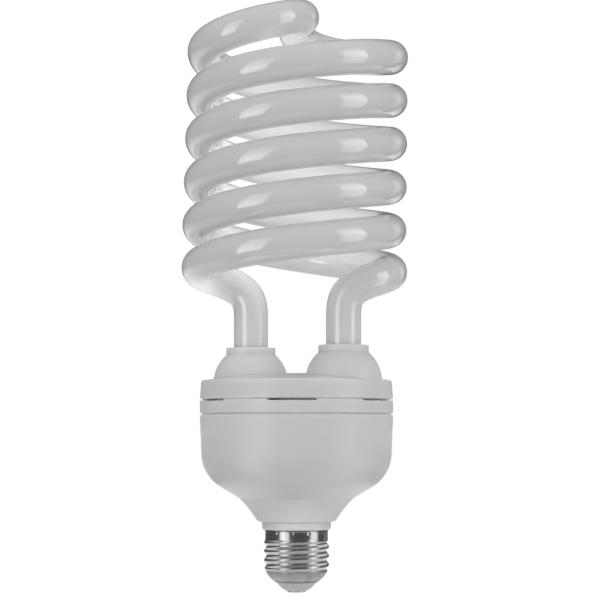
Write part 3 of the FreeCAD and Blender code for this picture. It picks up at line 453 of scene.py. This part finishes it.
def marks(angle, z):
    """Punch dents that lock the shell to the neck, and the flat solder spot on the spun-in end."""
    step = math.radians(30.0)
    off = (angle + math.radians(127.0) + step / 2) % step - step / 2
    dent = -0.16 * np.exp(-((off * 12.7 / 0.50) ** 2 + ((z - 23.75) / 0.42) ** 2) ** 1.5)
    off = (angle + math.radians(61.6) + math.pi) % (2 * math.pi) - math.pi
    far = np.hypot(off * 10.8, (z - 6.05) * 1.45)
    spot = 0.30 * np.exp(-(far / 1.05) ** 4) - 0.20 * np.exp(-((far - 1.55) / 0.32) ** 2)
    return dent + spot


def closed_skins(outer_z, inner_z, around, inset):
    """Outer and inner skins of the shell, joined at the rim and at the spun-in end."""
    ang = np.linspace(0, 2 * math.pi, around, endpoint=False)
    rings = []
    for z in outer_z:
        r = shell_radius(ang, np.full_like(ang, z)) + marks(ang, z)
        rings.append(np.stack([r * np.cos(ang), r * np.sin(ang), np.full_like(ang, z)], axis=1))
    for z in inner_z:
        r = shell_radius(ang, np.full_like(ang, z)) - inset * (1.0 + 0.6 * (1 - ease(np.array(z), 6.5, 9.5)))
        rings.append(np.stack([r * np.cos(ang), r * np.sin(ang), np.full_like(ang, z)], axis=1))
    faces = []
    n = len(rings)
    for i in range(n):
        a, b = i * around, ((i + 1) % n) * around
        for j in range(around):
            k = (j + 1) % around
            faces.append((a + j, a + k, b + k, b + j))
    return np.vstack(rings), faces


outer = np.concatenate([np.linspace(4.15, 9.6, 46), np.linspace(9.7, 21.4, 146), np.linspace(21.55, 25.05, 32)])
inner = np.linspace(25.05, 4.15, 40)
verts, faces = closed_skins(outer, inner, 336, 0.35)
shell = make_piece("threaded_shell", verts * MM, faces, "nickel_shell", ("screw_shell",), sharp=math.radians(50))


# ----------------------------------------------------------------------- stage
def glowing(name, verts, faces, uvs=None):
    """A stage surface that shines by itself; returns it with its shader and node tree."""
    mesh = bpy.data.meshes.new(name)
    mesh.from_pydata(verts, [], faces)
    if uvs is not None:
        layer = mesh.uv_layers.new(name="across")
        for loop in mesh.loops:
            layer.data[loop.index].uv = uvs[loop.vertex_index]
    mesh.update()
    obj = bpy.data.objects.new(name, mesh)
    scene.collection.objects.link(obj)
    m = bpy.data.materials.new(name)
    m.use_nodes = True
    m.cycles.emission_sampling = "NONE"
    s = next(n for n in m.node_tree.nodes if n.type == "BSDF_PRINCIPLED")
    s.inputs["Base Color"].default_value = (0.0, 0.0, 0.0, 1.0)
    s.inputs["Roughness"].default_value = 1.0
    s.inputs["Specular IOR Level"].default_value = 0.0
    s.inputs["Emission Color"].default_value = (1.0, 1.0, 1.0, 1.0)
    s.inputs["Emission Strength"].default_value = 1.0
    obj.data.materials.append(m)
    obj.visible_shadow = obj.visible_transmission = obj.visible_diffuse = False
    return obj, s, m.node_tree


# The white sweep that the lens sees.
REACH = 6.0
floor, _, _ = glowing("floor", [(-REACH, -REACH, 0.0), (REACH, -REACH, 0.0), (REACH, REACH, 0.0), (-REACH, REACH, 0.0)], [(0, 1, 2, 3)])
floor.visible_glossy = False
wall, wall_faces = [], []
for i in range(48):
    a = 2 * math.pi * i / 48
    wall += [(5.0 * math.cos(a), 5.0 * math.sin(a), -0.01), (5.0 * math.cos(a), 5.0 * math.sin(a), 6.0)]
    k = (i + 1) % 48
    wall_faces.append((2 * i, 2 * k, 2 * k + 1, 2 * i + 1))
sweep_wall, _, _ = glowing("sweep", wall, wall_faces)
sweep_wall.visible_glossy = False

grey = lambda v: (v, v, v)

# The room as gloss shows it: dark at eye level, a pale ceiling and floor, white behind the object.
MIDDLE = Vector((0.0, 0.0, 0.12))


def globe(radius, columns, rows):
    verts, faces = [], []
    for j in range(rows + 1):
        e = math.pi * (j / rows - 0.5)
        for i in range(columns):
            a = 2 * math.pi * i / columns
            verts.append((radius * math.cos(e) * math.cos(a), radius * math.cos(e) * math.sin(a), radius * math.sin(e)))
    for j in range(rows):
        for i in range(columns):
            k = (i + 1) % columns
            faces.append((j * columns + i, j * columns + k, (j + 1) * columns + k, (j + 1) * columns + i))
    return verts, faces


room, s, t = glowing("room", *globe(4.2, 64, 32))
room.location = MIDDLE
room.visible_camera = False
coords = add(t, "ShaderNodeTexCoord")
unit = add(t, "ShaderNodeVectorMath", operation="NORMALIZE")
split = add(t, "ShaderNodeSeparateXYZ")
t.links.new(coords.outputs["Object"], unit.inputs[0])
t.links.new(unit.outputs["Vector"], split.inputs[0])
upright = maths(t, "ABSOLUTE", split.outputs["Z"])
bands = ramp(t, upright, [(0.0, grey(0.15)), (0.60, grey(0.17)), (0.80, grey(0.24)), (1.0, grey(0.30))])
rear = maths(t, "MULTIPLY", maths(t, "MAXIMUM", split.outputs["Y"], 0.0), 0.8)
pale = remap(t, maths(t, "SUBTRACT", rear, split.outputs["Z"]), 0.70, 1.0, 0.0, 1.0)
below = remap(t, split.outputs["Z"], -0.03, -0.10, 0.0, 0.9)
t.links.new(maths(t, "ADD", bands, maths(t, "MULTIPLY", pale, below)), s.inputs["Emission Strength"])

# A flag round the back of the housing: dark towards the coil, white towards the cap.
for name, z, level, strip in (("flag_top", 0.0625, 0.65, 0.65), ("flag_under", 0.0610, 0.15, 1.3)):
    verts, faces = [], []
    for i in range(61):
        a = math.radians(-35.0 + 250.0 * i / 60)
        c, d = math.cos(a), math.sin(a)
        far = min(0.16 / max(abs(c), 1e-6), (0.42 if d > 0 else 0.03) / max(abs(d), 1e-6))
        verts += [(0.0445 * c, 0.0445 * d, z), (max(far, 0.046) * c, max(far, 0.046) * d, z)]
    for i in range(60):
        faces.append((2 * i, 2 * i + 1, 2 * i + 3, 2 * i + 2))
    flag, s, t = glowing(name, verts, faces)
    flag.visible_camera = False
    split = add(t, "ShaderNodeSeparateXYZ")
    t.links.new(place_coords(t), split.inputs[0])
    t.links.new(remap(t, maths(t, "ABSOLUTE", split.outputs["X"]), 0.080, 0.098, strip, level), s.inputs["Emission Strength"])

# Pale cards under the cap and at both sides of it, for the nickel alone.
card, s, t = glowing("under_card", [(-0.16, -0.12, -0.03), (0.16, -0.12, -0.03), (0.16, 0.42, -0.03), (-0.16, 0.42, -0.03)], [(0, 1, 2, 3)])
card.visible_camera = False
split = add(t, "ShaderNodeSeparateXYZ")
t.links.new(place_coords(t), split.inputs[0])
strip = remap(t, maths(t, "ABSOLUTE", split.outputs["X"]), 0.080, 0.098, 1.0, 0.12)
deep = remap(t, split.outputs["Y"], -0.05, 0.0, 0.66, 1.3)
near = remap(t, split.outputs["Y"], -0.104, -0.086, 0.25, 1.0)
t.links.new(maths(t, "MULTIPLY", maths(t, "MULTIPLY", strip, deep), near), s.inputs["Emission Strength"])
for name, first, last, level in (("left_card", -60.5, -30.5, 2.45), ("right_card", 45.5, 79.0, 2.15)):
    verts, faces, uvs = [], [], []
    for i in range(25):
        a = math.radians(first + (last - first) * i / 24)
        for v, z in ((0.0, -0.03), (1.0, 0.045)):
            verts.append((0.075 * math.sin(a), -0.075 * math.cos(a), z))
            uvs.append((i / 24, v))
    for i in range(24):
        faces.append((2 * i, 2 * i + 2, 2 * i + 3, 2 * i + 1))
    card, s, t = glowing(name, verts, faces, uvs)
    card.visible_camera = False
    uv = add(t, "ShaderNodeUVMap", uv_map="across")
    part = add(t, "ShaderNodeSeparateXYZ")
    t.links.new(uv.outputs["UV"], part.inputs[0])
    wide = ramp(t, part.outputs["X"], [(0.0, grey(0.35)), (0.18, grey(0.85)), (0.45, grey(1.0)), (0.8, grey(0.85)), (1.0, grey(0.35))])
    t.links.new(maths(t, "MULTIPLY", wide, level), s.inputs["Emission Strength"])


def softbox(name, corners, distance, across, along):
    """A soft panel between four directions (azimuth from the viewing side towards +X, elevation)."""
    n, m = 24, 24
    verts, faces, uvs = [], [], []
    for j in range(m + 1):
        v = j / m
        for i in range(n + 1):
            u = i / n
            a, e = (math.radians((1 - u) * (1 - v) * corners[0][k] + u * (1 - v) * corners[1][k]
                                 + u * v * corners[2][k] + (1 - u) * v * corners[3][k]) for k in (0, 1))
            verts.append((distance * math.cos(e) * math.sin(a), -distance * math.cos(e) * math.cos(a), distance * math.sin(e)))
            uvs.append((u, v))
    for j in range(m):
        for i in range(n):
            q = j * (n + 1) + i
            faces.append((q, q + 1, q + n + 2, q + n + 1))
    obj, s, t = glowing(name, verts, faces, uvs)
    obj.location = MIDDLE
    obj.visible_camera = False
    uv = add(t, "ShaderNodeUVMap", uv_map="across")
    part = add(t, "ShaderNodeSeparateXYZ")
    t.links.new(uv.outputs["UV"], part.inputs[0])
    wide = ramp(t, part.outputs["X"], [(u, grey(v)) for u, v in across])
    tall = ramp(t, part.outputs["Y"], [(u, grey(v)) for u, v in along])
    t.links.new(maths(t, "MULTIPLY", maths(t, "MULTIPLY", wide, tall), 3.7), s.inputs["Emission Strength"])
    return obj


softbox("left_softbox", ((-58.5, -27.0), (-31.0, -27.0), (-22.5, 38.0), (-54.5, 38.0)), 1.7,
        ((0.0, 0.85), (0.3, 1.0), (0.5, 0.93), (0.75, 0.8), (1.0, 0.68)),
        ((0.0, 0.85), (0.14, 0.92), (0.32, 0.93), (0.45, 0.78), (0.62, 0.56), (0.82, 0.46), (0.93, 0.42), (1.0, 0.36)))
softbox("right_softbox", ((53.5, -29.0), (82.0, -29.0), (73.0, 44.5), (43.0, 44.5)), 1.7,
        ((0.0, 0.64), (0.2, 0.76), (0.5, 0.9), (0.75, 0.98), (1.0, 0.93)),
        ((0.0, 0.46), (0.2, 0.53), (0.4, 0.61), (0.55, 0.8), (0.66, 0.87), (0.78, 0.7), (0.9, 0.5), (1.0, 0.33)))
softbox("edge_softbox", ((116.0, -26.0), (142.0, -26.0), (146.0, 30.0), (119.0, 30.0)), 1.7,
        ((0.0, 0.1), (0.35, 1.0), (0.6, 0.85), (1.0, 0.05)),
        ((0.0, 0.03), (0.3, 0.11), (0.6, 0.2), (0.8, 0.21), (1.0, 0.05)))

# Even white light all round for everything that isn't gloss.
world = bpy.data.worlds.new("tent")
world.use_nodes = True
scene.world = world
world.cycles_visibility.glossy = False
t = world.node_tree
background = next(n for n in t.nodes if n.type == "BACKGROUND")
coords = add(t, "ShaderNodeTexCoord")
split = add(t, "ShaderNodeSeparateXYZ")
t.links.new(coords.outputs["Generated"], split.inputs[0])
height = remap(t, split.outputs["Z"], -1.0, 1.0, 0.0, 1.0)
level = ramp(t, height, [(0.0, grey(0.44)), (0.35, grey(0.54)), (0.5, grey(0.64)), (1.0, grey(0.71))])
rear = remap(t, split.outputs["Y"], -0.1, 0.5, 1.0, 1.5)
side = remap(t, split.outputs["X"], -1.0, 1.0, 0.90, 1.07)
t.links.new(maths(t, "MULTIPLY", maths(t, "MULTIPLY", level, rear), side), background.inputs["Strength"])
background.inputs["Color"].default_value = (1.0, 1.0, 1.0, 1.0)


def fill(name, place, aim, width, tall, radiance):
    """A large matte fill light: it adds light, and no reflection."""
    light = bpy.data.lights.new(name, "AREA")
    light.shape = "RECTANGLE"
    light.size, light.size_y = width, tall
    light.energy = radiance * math.pi * width * tall
    obj = bpy.data.objects.new(name, light)
    obj.location = place
    obj.rotation_euler = (Vector(aim) - Vector(place)).to_track_quat("-Z", "Y").to_euler()
    obj.visible_camera = obj.visible_glossy = False
    scene.collection.objects.link(obj)
    return obj


fill("front_fill", (0.0, -1.3, 0.10), MIDDLE, 0.9, 0.9, 0.9)


def snoot(name, place, aim, spread, watts, soft=0.03):
    """A narrow matte spot with a soft edge."""
    light = bpy.data.lights.new(name, "SPOT")
    light.energy = watts
    light.spot_size = math.radians(spread)
    light.spot_blend = 1.0
    light.shadow_soft_size = soft
    obj = bpy.data.objects.new(name, light)
    obj.location = place
    obj.rotation_euler = (Vector(aim) - Vector(place)).to_track_quat("-Z", "Y").to_euler()
    obj.visible_camera = obj.visible_glossy = False
    scene.collection.objects.link(obj)
    return obj


snoot("left_leg_snoot", (-0.10, -0.80, 0.05), (-0.025, 0.014, 0.083), 4.0, 5.1)
snoot("right_leg_snoot", (0.10, -0.80, 0.05), (0.021, -0.014, 0.084), 3.8, 3.5)
snoot("left_dome_snoot", (-0.06, -0.80, 0.25), (-0.0187, 0.0, 0.0905), 2.0, 3.1, 0.006)
snoot("right_dome_snoot", (0.06, -0.80, 0.25), (0.0187, -0.028, 0.0905), 2.0, 1.9, 0.006)
snoot("bowl_snoot", (0.0, -0.80, 0.06), (0.0, -0.044, 0.047), 3.1, 4.5)
snoot("left_turn_snoot", (-0.10, 0.12, -0.22), (-0.041, 0.003, 0.118), 5.0, 6.0, 0.01)
snoot("neck_snoot", (0.0, -0.80, 0.10), (0.0, -0.0139, 0.0262), 2.1, 5.6, 0.006)

# A little light in the coil's core, where a real tube passes on some of the light behind it.
light = bpy.data.lights.new("core_fill", "AREA")
light.shape, light.size, light.size_y, light.energy = "RECTANGLE", 0.036, 0.084, 0.0160
obj = bpy.data.objects.new(light.name, light)
obj.location = (0.0, -0.016, 0.174)
obj.rotation_euler = Vector((0.0, 1.0, 0.0)).to_track_quat("-Z", "Z").to_euler()
obj.visible_camera = obj.visible_glossy = False
scene.collection.objects.link(obj)

for i, watts in enumerate((0.0003, 0.0009, 0.0012, 0.0013, 0.0014, 0.0012)):
    light = bpy.data.lights.new("core_glow_%d" % i, "POINT")
    light.energy, light.shadow_soft_size = watts, 0.005
    obj = bpy.data.objects.new(light.name, light)
    obj.location = (-0.022, 0.010, 0.134 + 0.0176 * i)
    obj.visible_camera = obj.visible_glossy = False
    scene.collection.objects.link(obj)

# ---------------------------------------------------------------------- camera
camera = bpy.data.cameras.new("camera")
camera.sensor_width = 36.0
camera.lens = 36.0 * 2227.7 / 600.0
camera.clip_start, camera.clip_end = 0.05, 20.0
eye = bpy.data.objects.new("camera", camera)
eye.location = (1.41 * MM, -900.0 * MM, 61.39 * MM)
eye.rotation_euler = (math.radians(90.0 + 3.57), 0.0, 0.0)
scene.collection.objects.link(eye)
scene.camera = eye

scene.view_settings.view_transform = "Standard"
scene.view_settings.look = "None"
